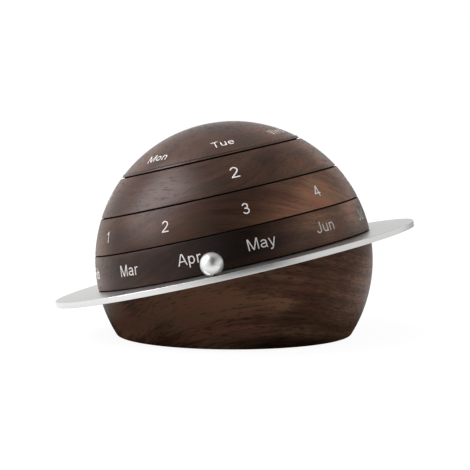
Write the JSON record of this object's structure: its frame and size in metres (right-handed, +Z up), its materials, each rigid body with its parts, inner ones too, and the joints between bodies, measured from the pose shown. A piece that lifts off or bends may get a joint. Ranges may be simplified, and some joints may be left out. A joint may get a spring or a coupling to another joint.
{
  "type": "perpetual desk calendar",
  "caption": "Ringed-planet desk calendar: wooden sphere with a flat foot, tilted metal orbit plate, turning date layers and a magnetic ball.",
  "frame": {"origin": "centre of the resting face of the base pad, straight below the centre of the sphere", "axes": "+Z up from the desk, +Y towards the back, so -Y is the side that is read; the turning axis leans 13 degrees from +Z towards -X"},
  "size_m": [0.1289, 0.1334, 0.0771],
  "materials": {
    "walnut": "oiled dark walnut, satin",
    "plate_steel": "satin, fine brushed",
    "ball_steel": "satin nickel",
    "bright_steel": "turned, zinc plated",
    "brass": "turned",
    "nylon": "natural nylon",
    "pad": "fine-textured foam rubber",
    "lettering": "printed numbers and words, satin off-white"
  },
  "bodies": {
    "base": {"base_body": "walnut", "base_pad": "pad", "orbit_plate": "plate_steel", "plate_screw_1": "bright_steel", "plate_screw_2": "bright_steel", "plate_screw_3": "bright_steel", "plate_screw_4": "bright_steel", "base_bush": "brass", "base_thrust_washer": "nylon", "seat_washer": "bright_steel", "wave_spring": "bright_steel"},
    "month_layer": {"month_ring": "walnut", "month_bush": "brass", "month_washer": "nylon"},
    "ones_layer": {"ones_ring": "walnut", "ones_bush": "brass", "ones_washer": "nylon"},
    "tens_layer": {"tens_ring": "walnut", "tens_bush": "brass", "tens_washer": "nylon"},
    "weekday_layer": {"weekday_cap": "walnut", "cap_insert": "brass", "spindle": "bright_steel", "nut_washer": "bright_steel", "lock_nut": "bright_steel"},
    "moon": {"moon_ball": "ball_steel"}
  },
  "joints": [
    {"name": "month_turn", "type": "hinge", "parent": "base", "child": "month_layer", "pos_m": [0, 0, 0.0271], "axis": [-0.225, 0, 0.9744], "continuous": true},
    {"name": "ones_turn", "type": "hinge", "parent": "base", "child": "ones_layer", "pos_m": [0, 0, 0.0271], "axis": [-0.225, 0, 0.9744], "continuous": true},
    {"name": "tens_turn", "type": "hinge", "parent": "base", "child": "tens_layer", "pos_m": [0, 0, 0.0271], "axis": [-0.225, 0, 0.9744], "continuous": true},
    {"name": "weekday_turn", "type": "hinge", "parent": "base", "child": "weekday_layer", "pos_m": [0, 0, 0.0271], "axis": [-0.225, 0, 0.9744], "continuous": true},
    {"name": "moon_orbit", "type": "hinge", "parent": "base", "child": "moon", "pos_m": [0, 0, 0.0271], "axis": [-0.225, 0, 0.9744], "continuous": true}
  ]
}
